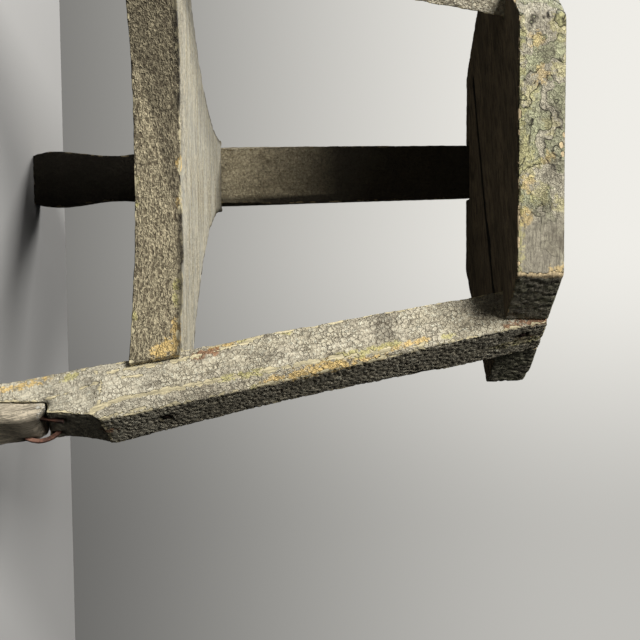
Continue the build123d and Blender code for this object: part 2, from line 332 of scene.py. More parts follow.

# Flaking: coats of paint worn through to one another in steps, like the heights on a map, with a painted
# shadow along the brink of each step.
flaking, takes, gives = effect(
    "flaking",
    {"Place": (0.0, 0.0, 0.0), "Size": 0.025, "Coats": 7.0},
    ("Step", "Brink shadow", "Coat tone"),
)
per_metre = reckon(flaking, "DIVIDE", 1.0, takes["Size"])
thinning = {"Vector": takes["Place"], "Scale": per_metre, "Detail": 3.5, "Roughness": 0.5}
thinned = add(flaking, "TexNoise", thinning).outputs["Fac"]
coats_left = reckon(flaking, "MULTIPLY", thinned, takes["Coats"])
coat_number = add(flaking, "Math", {0: coats_left}, operation="FLOOR").outputs[0]
within_coat = add(flaking, "Math", {0: coats_left}, operation="FRACT").outputs[0]
flaking.links.new(reckon(flaking, "ADD", coat_number, ramp(flaking, within_coat, 0.0, 0.06)), gives["Step"])
brink_scale = reckon(flaking, "MULTIPLY", per_metre, 2.2)
brink_gaps = {"Vector": takes["Place"], "Scale": brink_scale, "Detail": 2.0}
brink_noise = add(flaking, "TexNoise", brink_gaps).outputs["Fac"]
brink_line = ramp(flaking, within_coat, 0.04, 0.26, 1.0, 0.0)
brink_shadow = reckon(flaking, "MULTIPLY", brink_line, ramp(flaking, brink_noise, 0.36, 0.52))
flaking.links.new(brink_shadow, gives["Brink shadow"])
coat_tone = add(flaking, "TexWhiteNoise", {"W": coat_number}, noise_dimensions="1D").outputs["Value"]
flaking.links.new(coat_tone, gives["Coat tone"])

# Wood figure: growth rings about a pith, and the fine fibres that weather proud along the grain.
figure, takes, gives = effect(
    "wood figure",
    {"Place": (0.0, 0.0, 0.0), "Pith": (0.0, 0.0, 0.0), "Draw": (1.0, 1.0, 0.06), "Ring width": 0.004},
    ("Ring", "Fibre"),
)
pith_gap = add(figure, "VectorMath", {0: takes["Place"], 1: takes["Pith"]}, operation="SUBTRACT").outputs[0]
drawn = add(figure, "VectorMath", {0: pith_gap, 1: takes["Draw"]}, operation="MULTIPLY").outputs[0]
bend = add(figure, "TexNoise", {"Vector": drawn, "Scale": 22.0, "Detail": 3.0})
bent = add(figure, "VectorMath", {0: bend.outputs["Color"], "Scale": 0.012}, operation="SCALE").outputs[0]
ringed = add(figure, "VectorMath", {0: drawn, 1: bent}, operation="ADD").outputs[0]
# A wave texture of scale 1 has rings this far apart.
plain_ring_width = 0.314
ring_scale = reckon(figure, "DIVIDE", plain_ring_width, takes["Ring width"])
rings = add(
    figure, "TexWave", {"Vector": ringed, "Scale": ring_scale, "Distortion": 0.0},
    wave_type="RINGS", rings_direction="Z", wave_profile="SAW",
)
fibre = add(figure, "TexNoise", {"Vector": drawn, "Scale": 900.0, "Detail": 4.0, "Roughness": 0.65})
figure.links.new(rings.outputs["Fac"], gives["Ring"])
figure.links.new(fibre.outputs["Fac"], gives["Fibre"])

# Blotches: patches with ragged edges that cover a share of the surface.
blotch, takes, gives = effect(
    "blotch",
    {"Place": (0.0, 0.0, 0.0), "Size": 0.03, "Cover": 0.3, "Softness": 0.05, "Seed": 0.0},
    ("Mask",),
)
per_metre = reckon(blotch, "DIVIDE", 1.0, takes["Size"])
scaled = add(blotch, "VectorMath", {0: takes["Place"], "Scale": per_metre}, operation="SCALE").outputs[0]
moved = add(blotch, "VectorMath", {0: scaled, 1: takes["Seed"]}, operation="ADD").outputs[0]
spreading = {"Vector": moved, "Scale": 1.0, "Detail": 5.0, "Roughness": 0.6}
spread = add(blotch, "TexNoise", spreading).outputs["Fac"]
# Noise values crowd around a half, so the cover runs over the middle of their range.
threshold = ramp(blotch, takes["Cover"], 0.0, 1.0, 0.72, 0.28)
over = reckon(blotch, "SUBTRACT", spread, threshold)
blotch.links.new(ramp(blotch, over, 0.0, takes["Softness"]), gives["Mask"])

# Wrinkling: paint drawn up into fine ridges, and the hollows between them.
wrinkling, takes, gives = effect("wrinkling", {"Place": (0.0, 0.0, 0.0)}, ("Ridge", "Hollow"))
folds = {"Vector": takes["Place"], "Scale": 330.0, "Detail": 1.5, "Roughness": 0.7}
fold_noise = add(wrinkling, "TexNoise", folds).outputs["Fac"]
from_fold = size_of(wrinkling, reckon(wrinkling, "SUBTRACT", fold_noise, 0.5))
wrinkling.links.new(ramp(wrinkling, from_fold, 0.0, 0.11, 1.0, 0.0), gives["Ridge"])
wrinkling.links.new(ramp(wrinkling, from_fold, 0.07, 0.14), gives["Hollow"])

# Grit: fine dark and pale specks, drawn out like the pits where there are pits.
grit, takes, gives = effect(
    "grit",
    {"Place": (0.0, 0.0, 0.0), "Pit place": (0.0, 0.0, 0.0), "Pitting": 0.0},
    ("Height", "Dark", "Pale"),
)
even_grit = speckle(grit, takes["Place"], 420.0)
drawn_grit = speckle(grit, takes["Pit place"], 420.0)
grains = blend(grit, takes["Pitting"], even_grit, drawn_grit)
grit.links.new(grains, gives["Height"])
grit.links.new(ramp(grit, grains, 0.32, 0.5, 0.55, 0.0), gives["Dark"])
grit.links.new(ramp(grit, grains, 0.52, 0.68), gives["Pale"])

# Staining: the mask of a mark noted on the skin, with its edge frayed. It is full in the core.
staining, takes, gives = effect(
    "staining",
    {"Place": (0.0, 0.0, 0.0), "Near": 0.0, "Starts": 0.15, "Full": 0.65, "Core": 0.25, "Strength": 1.0},
    ("Mask",),
)
fraying = ramp(staining, speckle(staining, takes["Place"], 230.0), 0.3, 0.7, -0.5, 0.5)
frayed = reckon(staining, "ADD", takes["Near"], fraying)
stain = ramp(staining, frayed, takes["Starts"], takes["Full"], 0.0, takes["Strength"])
stain = reckon(staining, "MULTIPLY", stain, ramp(staining, takes["Near"], 0.0, takes["Core"]))
staining.links.new(stain, gives["Mask"])

# Wear: paint rubbed off along the arrises and at the worn spots noted on the skin, both ragged.
wear, takes, gives = effect(
    "wear", {"Place": (0.0, 0.0, 0.0), "Arris": 0.0, "Worn": 0.0, "Arris wear": 0.2}, ("Mask",)
)
ragged = ramp(wear, speckle(wear, takes["Place"], 120.0), 0.3, 0.7, -0.35, 0.3)
wear_starts = reckon(wear, "SUBTRACT", 1.0, takes["Arris wear"])
wear_full = reckon(wear, "ADD", wear_starts, 0.08)
worn_arris = ramp(wear, reckon(wear, "ADD", takes["Arris"], ragged), wear_starts, wear_full)
ragged = ramp(wear, speckle(wear, takes["Place"], 200.0), 0.3, 0.7, -0.3, 0.2)
worn_spot = ramp(wear, reckon(wear, "ADD", takes["Worn"], ragged), 0.35, 0.5)
wear.links.new(reckon(wear, "MAXIMUM", worn_arris, worn_spot), gives["Mask"])

# Greying: the shades of bare wood, dark between its fibres, in specks and in clouds.
greying, takes, gives = effect(
    "greying", {"Place": (0.0, 0.0, 0.0), "Fibre": 0.5, "Figured": 1.0}, ("Fibres", "Specks", "Clouds")
)
fibre_depth = reckon(greying, "MULTIPLY", takes["Figured"], 0.9)
greying.links.new(ramp(greying, takes["Fibre"], 0.38, 0.56, fibre_depth, 0.0), gives["Fibres"])
speck_depth = reckon(greying, "MULTIPLY", takes["Figured"], 0.6)
specks = speckle(greying, takes["Place"], 500.0)
greying.links.new(ramp(greying, specks, 0.34, 0.52, speck_depth, 0.0), gives["Specks"])
cloud_depth = reckon(greying, "MULTIPLY", takes["Figured"], 0.4)
clouds = add(greying, "TexNoise", {"Vector": takes["Place"], "Scale": 28.0, "Detail": 4.0}).outputs["Fac"]
greying.links.new(ramp(greying, clouds, 0.35, 0.65, 0.0, cloud_depth), gives["Clouds"])

# The grime colour also paints shade: under flake brinks, in nooks, on the rear leg and in the ankles.
grime_and_shade = shade(28, 23, 17)
crack_dirt = shade(74, 60, 44)
ochre_stain = shade(242, 206, 130)
lichen_stain = shade(206, 196, 130)
rust_stain = shade(156, 108, 74)
smudge_and_shade = shade(96, 88, 76)
crack_shadow = shade(12, 10, 8)


def weathered_wood(tree, place, grain, colour, figured):
    """Bare wood: dark and light growth rings under fine grey fibres, faint or fully figured."""
    grey = use(tree, greying, {"Place": place, "Fibre": grain["Fibre"], "Figured": figured})
    wood = blend(tree, grain["Ring"], shade(*colour), darker(colour, 0.8))
    wood = blend(tree, grey["Fibres"], wood, darker(colour, 0.46))
    wood = blend(tree, grey["Specks"], wood, darker(colour, 0.5))
    return blend(tree, grey["Clouds"], wood, darker(colour, 0.65))


def old_paint(
    name, coat, drab, layer, flaked, plates, cracked, wrinkled, pitted, stained,
    rubbed, bare_wood, worn_wood, arris_wear, pith, draw=(1.0, 1.0, 0.06),
):
    """Old paint over wood: crazed, pitted, worn to an older layer, stained, and off the arrises."""
    material = bpy.data.materials.new(name)
    material.use_nodes = True
    tree = material.node_tree
    shader = tree.nodes["Principled BSDF"]

    def noted(label, kind="Fac"):
        return add(tree, "Attribute", attribute_name=label).outputs[kind]

    def share(value, amount):
        return reckon(tree, "MULTIPLY", value, amount)

    place = noted("grain", "Vector")
    pit_place = noted("pit_grain", "Vector")
    drawn_out = add(tree, "VectorMath", {0: place, 1: (1.0, 1.0, 0.5)}, operation="MULTIPLY").outputs[0]
    smooth = noted("rubbed")
    rough = reckon(tree, "SUBTRACT", 1.0, smooth)
    pitting = noted("pitting")
    grain = use(tree, figure, {"Place": place, "Pith": pith, "Draw": draw, "Ring width": 0.0035})
    steps = use(tree, flaking, {"Place": drawn_out, "Size": 0.026, "Coats": 10.0})
    wrinkles = use(tree, wrinkling, {"Place": drawn_out})
    specks = use(tree, grit, {"Place": place, "Pit place": pit_place, "Pitting": pitting})

    def patches(where, size, cover, softness, seed):
        chosen = {"Place": where, "Size": size, "Cover": cover, "Softness": softness, "Seed": seed}
        return use(tree, blotch, chosen)["Mask"]

    def crazed(size):
        chosen = {"Place": place, "Plate size": size, "Gap": 0.1, "Wander": size * 1.3, "Open": 0.6}
        return use(tree, crazing, chosen)

    def marked(near, starts, full, core, strength):
        chosen = {"Near": near, "Starts": starts, "Full": full, "Core": core, "Strength": strength}
        return use(tree, staining, {"Place": place, **chosen})["Mask"]

    # Crazing comes in patches of wide and narrow plates.
    wide, narrow = crazed(plates * 1.3), crazed(plates * 0.75)
    narrowed = patches(drawn_out, 0.016, 0.5, 0.1, 6.1)
    crack = share(blend(tree, narrowed, wide["Crack"], narrow["Crack"]), rough)
    lip = blend(tree, narrowed, wide["Lip"], narrow["Lip"])

    # Colour, from the broad clouds of the old coat to the layer below it and its fine speckle.
    surface = blend(tree, patches(drawn_out, 0.03, 0.5, 0.2, 0.0), shade(*coat), shade(*drab))
    surface = blend(tree, share(patches(drawn_out, 0.008, 0.45, 0.25, 9.2), 0.55), surface, shade(*drab))
    below = blend(tree, ramp(tree, steps["Coat tone"], 0.55, 0.6), shade(*layer), darker(layer, 0.84))
    bared = share(ramp(tree, steps["Coat tone"], 0.38, 0.4, 0.0, flaked), rough)
    surface = blend(tree, bared, surface, below)
    surface = blend(tree, share(smooth, 0.8), surface, shade(*rubbed))
    surface = blend(tree, ramp(tree, wide["Plate tone"], 0.3, 1.0, 0.0, 0.35), surface, shade(*drab))
    pale_speck_and_highlight = shade(*(min(part * 1.16, 236) for part in coat))
    surface = blend(tree, specks["Dark"], surface, darker(drab, 0.6))
    speck_share = ramp(tree, smooth, 0.0, 1.0, 0.6, 0.25)
    surface = blend(tree, share(specks["Pale"], speck_share), surface, pale_speck_and_highlight)
    # The hollows between wrinkles are darkened, and their ridges get a painted highlight.
    surface = blend(tree, share(share(wrinkles["Hollow"], rough), wrinkled * 0.6), surface, crack_dirt)
    surface = blend(tree, share(wrinkles["Ridge"], wrinkled * 0.3), surface, pale_speck_and_highlight)
    streaks = ramp(tree, grain["Fibre"], 0.38, 0.54, 1.0, 0.0)
    surface = blend(tree, share(streaks, share(rough, 0.2)), surface, darker(drab, 0.6))
    surface = blend(tree, share(streaks, share(smooth, 0.7)), surface, darker(rubbed, 0.8))

    # Stains, smudges and painted shade at the places noted on the skin.
    stains = add(tree, "SeparateXYZ", {0: noted("stains", "Vector")}).outputs
    unstained = 1.0
    for near_stain, tone in zip(stains, (ochre_stain, lichen_stain, rust_stain)):
        mask = marked(near_stain, 0.15, 0.65, 0.25, stained)
        surface = blend(tree, mask, surface, tone)
        unstained = share(reckon(tree, "SUBTRACT", 1.0, mask), unstained)
    surface = blend(tree, marked(noted("smudged_and_shaded"), 0.0, 0.9, 0.4, 0.5), surface, smudge_and_shade)

    # Dirt in the cracks and in the pits, less of it where stains fill them, painted shadow under the brinks
    # of the flakes, and the painted shade and soot noted on the skin.
    unfilled = ramp(tree, unstained, 0.1, 0.8, 0.5, 1.0)
    surface = blend(tree, share(share(crack, unfilled), cracked), surface, crack_dirt)
    surface = blend(tree, share(share(steps["Brink shadow"], rough), flaked), surface, grime_and_shade)
    pit_cover = ramp(tree, pitting, 0.0, 1.0, pitted, pitted + 0.12)
    pits = share(share(patches(pit_place, 0.0022, pit_cover, 0.06, 5.3), rough), unfilled)
    surface = blend(tree, share(pits, 0.85), surface, grime_and_shade)
    surface = blend(tree, noted("shade_and_soot"), surface, grime_and_shade)

    # Wood where the paint is worn through or never was.
    wood = weathered_wood(tree, place, grain, bare_wood, 1.0)
    fresh = weathered_wood(tree, place, grain, worn_wood, 0.45)
    rubbing = {"Place": place, "Arris": noted("arris"), "Worn": noted("worn"), "Arris wear": arris_wear}
    worn = use(tree, wear, rubbing)["Mask"]
    bare = noted("bare")
    surface = blend(tree, worn, surface, fresh)
    surface = blend(tree, bare, surface, wood)
    # Painted shade in the nooks, and painted shadow in the seat's crack.
    surface = blend(tree, ramp(tree, noted("nook"), 0.3, 1.0, 0.0, 0.85), surface, grime_and_shade)
    surface = blend(tree, ramp(tree, noted("crack"), 0.3, 0.6), surface, crack_shadow)
    tree.links.new(surface, shader.inputs["Base Color"])

    # Relief in millimetres: lips, cracks, wrinkles, pits and steps of paint, and fibres of wood.
    painted = share(reckon(tree, "SUBTRACT", 1.0, reckon(tree, "MAXIMUM", worn, bare)), rough)
    relief = reckon(tree, "SUBTRACT", share(lip, 0.35), share(crack, 0.4))
    relief = reckon(tree, "ADD", relief, share(wrinkles["Ridge"], wrinkled))
    relief = reckon(tree, "SUBTRACT", relief, share(pits, 0.8))
    relief = reckon(tree, "ADD", relief, share(steps["Step"], flaked * 0.7))
    relief = reckon(tree, "ADD", relief, share(specks["Height"], ramp(tree, pitting, 0.0, 1.0, 1.8, 4.0)))
    relief = share(relief, painted)
    relief = reckon(tree, "ADD", relief, share(grain["Fibre"], 0.7))
    bump = add(tree, "Bump", {"Strength": 1.0, "Distance": 0.001, "Height": relief})
    tree.links.new(bump.outputs[0], shader.inputs["Normal"])
    tree.links.new(ramp(tree, painted, 0.0, 1.0, 0.92, 0.76), shader.inputs["Roughness"])
    shader.inputs["Specular IOR Level"].default_value = 0.25
    return material


def turned(degrees):
    """The flat direction at that angle from +X."""
    return Vector((math.cos(math.radians(degrees)), math.sin(math.radians(degrees)), 0.0))


seat = dense_copy("seat_slab", "seat_plank", seat_facet)
seat_grain = grain_frame(turned(seat_grain_direction), (0.0, 0.0, 1.0))
# Knocks have rounded the top of its right corner.
knock_reach = 0.024
right_corner = seat_axis + Vector((seat_corner_reach, 0.0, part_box("seat_slab")[1].z))
knocked = np.clip(nearness(corners_of(seat.data), [right_corner], knock_reach) * 2, 0, 1)
knock_round(seat.data, knocked, rounds=40)
seat_skin = weather(
    seat, "seat_slab", seat_grain, hewn=0.0004, pebbled=0.0003, chip=0.0018, seed=11.0,
    pitted_sides=(turned(210.0), turned(330.0)), pit_sizes=(0.0022, 0.0070, 0.0070),
)
seat_spots = corners_of(seat_skin) - np.array(seat_axis)
note(seat_skin, "bare", facing(seat_skin, under_side, 0.3))
# Sitters have rubbed the middle of the top smooth, and hands the right end of the front edge.
sitters_reach = 0.155
hands_from = 0.034
from_middle = np.linalg.norm(seat_spots[:, :2], axis=1) + 0.02 * ripple(seat_spots, (0.05, 0.05, 0.05), 3.3)
sitters_rubbed = np.clip((sitters_reach - from_middle) / 0.06, 0.25, 0.8) * facing(seat_skin, top_side, 0.4)
hand_rubbed = np.clip((seat_spots[:, 0] - hands_from) / 0.02, 0, 0.8) * facing(seat_skin, front_side, 0.3)
note(seat_skin, "rubbed", np.maximum(sitters_rubbed, hand_rubbed))
crack_places = []
for (start_x, start_y), (stop_x, stop_y) in zip(crack_route, crack_route[1:]):
    for step in np.linspace(0, 1, 60):
        across = start_x + (stop_x - start_x) * step, start_y + (stop_y - start_y) * step
        crack_places.append(seat_axis + Vector((*across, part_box("seat_slab")[0].z)))
crack_nearness = nearness(corners_of(seat_skin), crack_places, crack_reach)
note(seat_skin, "crack", crack_nearness)
opened = np.clip(crack_nearness * 2 - 1, 0, 1)[:, None] * (0.0, 0.0, crack_depth)
move_corners(seat_skin, corners_of(seat_skin) + opened)
# The right front corner is rubbed to the wood from top to bottom, most of all at the top.
rubbed_corner = [(83.2, -149, 449 - drop, 5.6 - drop * 0.05) for drop in range(0, 32, 2)]
pale_foot = [(across, -150, 419, 6) for across in range(-90, 86, 8)]
marks(
    seat_skin, seat_grain, 1.3,
    ochre=(
        (79, -149, 447, 5), (79, -149, 441, 4), (-48, -150, 433, 8), (24, -150, 424, 8),
        (6, -150, 438, 6), (44, -150, 422, 8), (-70, -150, 430, 7),
    ),
    lichen=(
        (-80, -150, 447, 12), (11, -150, 425, 10), (8, -150, 433, 6), (-34, -150, 426, 9),
        (36, -150, 446, 7), (0, -150, 421, 12), (30, -150, 433, 9), (-52, -150, 446, 9),
        (-15, -150, 440, 8), *pale_foot,
    ),
    worn=(*rubbed_corner, (-8, -150, 449, 3), (-2, -150, 447, 3), (4, -150, 448, 3)),
    smudged_and_shaded=(
        (-20, -150, 440, 12), (-62, -150, 438, 10), (14, -150, 442, 12), (36, -150, 436, 9),
        (60, -150, 444, 12),
    ),
)
seat_paint = old_paint(
    "seat_paint", coat=(196, 188, 163), drab=(152, 144, 127), layer=(176, 178, 138), flaked=0.85,
    plates=0.0026, cracked=0.15, wrinkled=0.2, pitted=0.11, stained=0.42, rubbed=(119, 112, 98),
    bare_wood=(116, 103, 84), worn_wood=(246, 220, 172), arris_wear=0.2, pith=seat_pith,
    draw=(1.0, 0.2, 0.06),
)
seat.data.materials.append(seat_paint)
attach(seat, "root")
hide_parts("seat_slab")

# Legs: three straight-grained bars housed in the seat's edge and splayed outwards, shaped at the
# foot with a hollow ankle and a spreading toe. They carry the same old paint, thinner and paler
# on the sides and worn to the wood along the outer arrises.
leg_facet = 0.0009
leg_splay = math.radians(13.0)
leg_directions = {"leg_rear": 90.0, "leg_front_left": 210.0, "leg_front_right": 330.0}
# Painted shade, with some soot, lies on the rear leg: the seat's shadow above one height, the board's
# shadow below another, and shade to the right of a line.
seat_shadow_above = 0.205
board_shadow_below = 0.17
shade_right_of = 0.018
# Painted shade darkens the ankle between its two heights, and the paint is paler below the last.
ankle_low, ankle_high = 0.09, 0.14
paler_below = 0.185
# Stains, worn lines, smudges and painted shade on the mended leg, from the seat down its front arrises to
# the foot.
leg_ochre = (
    (130, -103, 361, 137, -107, 329, 3.5), (142, -106, 331, 143, -108, 317, 3.5),
    (147, -110, 302, 153, -112, 274, 8), (143, -111, 293, 3), (155, -114, 258, 159, -115, 250, 4),
    (132, -105, 224, 134, -106, 212, 4), (183, -118, 140, 4), (154, -121, 93, 161, -126, 66, 5),
)
leg_lichen = (
    (134, -73, 440, 137, -75, 423, 7), (127, -103, 378, 4), (132, -105, 341, 139, -108, 316, 4),
    (138, -109, 310, 141, -110, 299, 3.5), (150, -117, 248, 155, -120, 217, 3.5), (124, -102, 263, 4),
    (129, -105, 234, 3.5), (161, -115, 243, 3.5), (152, -118, 113, 155, -119, 112, 3.5),
)
leg_rust = (
    (129, -80, 436, 5), (136, -110, 213, 139, -112, 202, 5), (193, -110, 137, 5),
    (118, -94, 447, 119, -98, 425, 5),
)
leg_worn = (
    (147, -107, 315, 148, -107, 307, 2.2), (163, -125, 175, 168, -130, 146, 2.8),
    (168, -130, 146, 173, -132, 133, 3.4), (173, -132, 133, 177, -133, 130, 2.4),
    (174, -125, 164, 181, -131, 135, 2.2), (152, -120, 163, 153, -121, 151, 2),
    (157, -123, 131, 167, -126, 99, 2.2), (134, -73, 439, 137, -75, 423, 4.6),
)
# The last smudge, at the top of the leg under the seat, is the seat's painted shadow.
leg_smudges_and_shade = (
    (114, -95, 332, 128, -103, 333, 7), (138, -109, 302, 140, -110, 295, 4), (140, -112, 252, 5),
    (158, -123, 170, 5), (155, -121, 126, 3), (128, -102, 248, 5), (102, -86, 412, 110, -91, 409, 7),
)

leg_paint = old_paint(
    "leg_paint", coat=(222, 211, 184), drab=(170, 159, 137), layer=(196, 184, 146), flaked=0.2,
    plates=0.0026, cracked=0.6, wrinkled=0.2, pitted=0.1, stained=0.8, rubbed=(255, 248, 224),
    bare_wood=(178, 162, 134), worn_wood=(240, 225, 182), arris_wear=0.26, pith=(0.03, 0.05, 0.0),
)
# The rear leg's copy of the paint is darker throughout: painted shade for the leg that stands back under
# the seat.
rear_leg_shaded_paint = old_paint(
    "rear_leg_shaded_paint", coat=(208, 194, 162), drab=(164, 150, 122), layer=(178, 166, 134), flaked=0.15,
    plates=0.0026, cracked=0.35, wrinkled=0.1, pitted=0.1, stained=0.5, rubbed=(160, 148, 120),
    bare_wood=(160, 145, 118), worn_wood=(150, 134, 102), arris_wear=0.1, pith=(0.03, 0.05, 0.0),
)


def up_the_leg(direction):
    """The way up a leg that leans out in that direction."""
    return turned(direction) * -math.sin(leg_splay) + Vector((0.0, 0.0, math.cos(leg_splay)))


for number, (node, direction) in enumerate(leg_directions.items()):
    leg = dense_copy(node, node.replace("leg_", "hewn_leg_"), leg_facet)
    leg_grain = grain_frame(up_the_leg(direction), turned(direction + 90.0))
    leg_skin = weather(
        leg, node, leg_grain, hewn=0.0004, pebbled=0.0004, chip=0.0024, seed=31.0 + 10 * number,
        pitted_sides=(turned(direction),), pit_sizes=(0.0034, 0.0028, 0.0018),
    )
    note(leg_skin, "bare", facing(leg_skin, top_side, 0.5))
    height = corners_of(leg_skin)[:, 2]
    normals = normals_of(leg_skin)
    if node == "leg_rear":
        # Painted shade, partly soot, darkens the inner side of the rear leg under the seat and below the
        # board, where their shadows fall, and down its right-hand side, which is in shade.
        seat_shadow = (height - seat_shadow_above) / 0.1
        board_shadow = (board_shadow_below - height) / 0.02
        shaded_right_side = 0.62 * np.clip((corners_of(leg_skin)[:, 0] - shade_right_of) / 0.004, 0, 1)
        shade_and_soot = np.maximum(np.maximum(seat_shadow, board_shadow), 0) + shaded_right_side
        inner = np.clip(0.5 - normals[:, 1] * 2.5, 0, 1)
        note(leg_skin, "shade_and_soot", np.clip(shade_and_soot, 0, 0.95) * inner)
    else:
        # Painted shade darkens the ankle where it is cut in under the shoulder.
        in_ankle = (height > ankle_low) & (height < ankle_high)
        shade_under_shoulder = np.clip(-normals[:, 2] * 4 - 0.6, 0, 1) * in_ankle
        note(leg_skin, "shade_and_soot", 0.75 * eased(shade_under_shoulder, leg_skin, 2))
        # The paint is smoother and paler towards the feet.
        note(leg_skin, "rubbed", np.clip((paler_below - height) / 0.08, 0, 0.22))
    if node == "leg_front_right":
        marks(leg_skin, leg_grain, 2.2, leg_ochre, leg_lichen, leg_rust, leg_worn, leg_smudges_and_shade)
    leg_skin.materials.append(rear_leg_shaded_paint if node == "leg_rear" else leg_paint)
    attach(leg, "root")
    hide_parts(node)

# Lower board: a three-armed plank that ties the legs, notched around them and left with short
# horns beside them. Feet have worn its top pale and hollow.
board_facet = 0.0013
board = dense_copy("lower_board", "foot_board", board_facet)
board_grain = grain_frame((1.0, 0.0, 0.0), (0.0, 0.0, 1.0))
board_skin = weather(
    board, "lower_board", board_grain, hewn=0.0004, pebbled=0.0004, chip=0.0022, seed=71.0
)
note(board_skin, "bare", facing(board_skin, under_side, 0.3))
# The rubbing runs in streaks along the grain and leaves a little paint between them.
board_along = (corners_of(board_skin) - np.array(seat_axis)) @ board_grain.T
streaks = np.clip(0.85 + 0.6 * ripple(board_along, (0.012, 0.008, 0.06), 5.1), 0.3, 1)
note(board_skin, "rubbed", streaks * facing(board_skin, top_side, 0.4))
# The front face is darker in a band under its arris, deepest at the left.
band_in_middle = 0.017
band_slope = 0.24
band_depth = np.clip(band_in_middle - band_slope * corners_of(board_skin)[:, 0], 0.002, 0.036)
below_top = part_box("lower_board")[1].z - corners_of(board_skin)[:, 2]
under_arris = np.clip((band_depth - below_top) / 0.008, 0, 0.4)
note(board_skin, "shade_and_soot", under_arris * facing(board_skin, front_side, 0.3))
marks(
    board_skin, board_grain, 1.6,
    ochre=(
        (3, -85, 188, 5), (33, -88, 188, 5), (118, -111, 188, 137, -120, 186, 6),
        (131, -117, 182, 136, -120, 174, 6),
    ),
    lichen=(
        (17, -87, 156, 4), (33, -88, 155, 4), (111, -108, 157, 4), (91, -101, 187, 5),
        (100, -104, 187, 5),
    ),
    worn=(
        (-10, -86, 190, 5), (5, -86, 190, 6), (22, -87, 190, 5), (36, -88, 190, 6), (84, -98, 190, 5),
        (98, -103, 190, 6), (108, -106, 190, 5), (17, -87, 155, 5), (122, -112, 155, 5),
    ),
)
board_paint = old_paint(
    "board_paint", coat=(189, 176, 144), drab=(138, 127, 104), layer=(170, 160, 128), flaked=0.2,
    plates=0.0026, cracked=0.45, wrinkled=1.0, pitted=0.1, stained=0.75, rubbed=(174, 172, 160),
    bare_wood=(104, 88, 68), worn_wood=(232, 218, 176), arris_wear=0.18, pith=(0.01, -0.2, 0.0),
    draw=(1.0, 0.3, 0.06),
)
board_skin.materials.append(board_paint)
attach(board, "root")
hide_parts("lower_board")

# Foot block: an unpainted piece of hardwood let in behind the mended front foot. It has gone
# silver-grey, with open grain and soft, knocked corners.
splice_facet = 0.0009
knocked_width = 0.014
spared_at_top = 0.006
pale_top_depth = 0.009

splice = dense_copy("foot_splice", "foot_block", splice_facet)
splice_direction = leg_directions["leg_front_right"]
splice_grain = grain_frame(up_the_leg(splice_direction), turned(splice_direction + 90.0))
# Knocks have rounded the outer arrises most, but not the top, which sits tight under the leg.
# The second row of the grain's frame points in towards the stool.
splice_spots = corners_of(splice.data)
outward = -(splice_spots @ splice_grain[1])
below_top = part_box("foot_splice")[1].z - splice_spots[:, 2]
knocked = np.clip((outward - outward.max() + knocked_width) / 0.006, 0, 1)
knocked *= np.clip((below_top - spared_at_top) / 0.006, 0, 1)
knock_round(splice.data, knocked, rounds=30)
splice_skin = weather(
    splice, "foot_splice", splice_grain, hewn=0.0003, pebbled=0.0, chip=0.0014, seed=91.0, softened=4
)
# Its top arris is paler, nearly white.
paler_top_arris = nearness(corners_of(splice_skin), sharp_edges("foot_splice")[0], arris_reach)
paler_top_arris *= np.clip((pale_top_depth - below_top) / 0.003, 0, 1)
note(splice_skin, "bare", np.clip((0.85 - paler_top_arris) / 0.15, 0.1, 1))
splice_wood = old_paint(
    "bare_splice_wood", coat=(236, 226, 200), drab=(204, 192, 164), layer=(204, 192, 164), flaked=0.0,
    plates=0.0048, cracked=0.0, wrinkled=0.0, pitted=0.0, stained=0.5, rubbed=(236, 226, 200),
    bare_wood=(244, 228, 198), worn_wood=(250, 244, 228), arris_wear=0.3, pith=(0.01, -0.2, 0.0),
    draw=(1.5, 1.5, 0.05),
)
splice_skin.materials.append(splice_wood)
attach(splice, "root")
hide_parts("foot_splice")

# Nails: hand-forged ones punched below the surface through each leg into the seat and the board,
# and two cut nails that hold the foot block, one of them bent over into a loop. All are rusted.
nail_facet = 0.0004
nail_pit_size = 0.0012
nail_pit_depth = 0.00012

# Rusting: thick scales of rust, and the lighter bloom on them.
rusting, takes, gives = effect("rusting", {"Place": (0.0, 0.0, 0.0)}, ("Scale", "Bloom"))
scaling = {"Vector": takes["Place"], "Scale": 420.0, "Detail": 6.0, "Roughness": 0.65}
rusting.links.new(add(rusting, "TexNoise", scaling).outputs["Fac"], gives["Scale"])
blooming = add(rusting, "TexNoise", {"Vector": takes["Place"], "Scale": 130.0, "Detail": 4.0})
rusting.links.new(ramp(rusting, blooming.outputs["Fac"], 0.5, 0.65), gives["Bloom"])


def rusted_iron(name, dark, pale, bloom):
    """Iron under scales of rust, with a paler bloom."""
    material = bpy.data.materials.new(name)
    material.use_nodes = True
    tree = material.node_tree
    shader = tree.nodes["Principled BSDF"]
    rust = use(tree, rusting, {"Place": add(tree, "TexCoord").outputs["Object"]})
    iron = blend(tree, ramp(tree, rust["Scale"], 0.35, 0.65), shade(*dark), shade(*pale))
    iron = blend(tree, rust["Bloom"], iron, shade(*bloom))
    tree.links.new(iron, shader.inputs["Base Color"])
    tree.links.new(ramp(tree, rust["Scale"], 0.3, 0.7, 0.6, 0.95), shader.inputs["Roughness"])
    bump = add(tree, "Bump", {"Strength": 1.0, "Distance": 0.0005, "Height": rust["Scale"]})
    tree.links.new(bump.outputs[0], shader.inputs["Normal"])
    return material


# The darker copy of the rust is painted shade, for the nails that sit in shade; the bent nail keeps the lit
# colours.
shaded_rust = rusted_iron("shaded_rust", dark=(34, 24, 20), pale=(72, 46, 34), bloom=(92, 58, 42))
bright_rust = rusted_iron("bright_rust", dark=(92, 64, 52), pale=(150, 106, 86), bloom=(190, 144, 120))

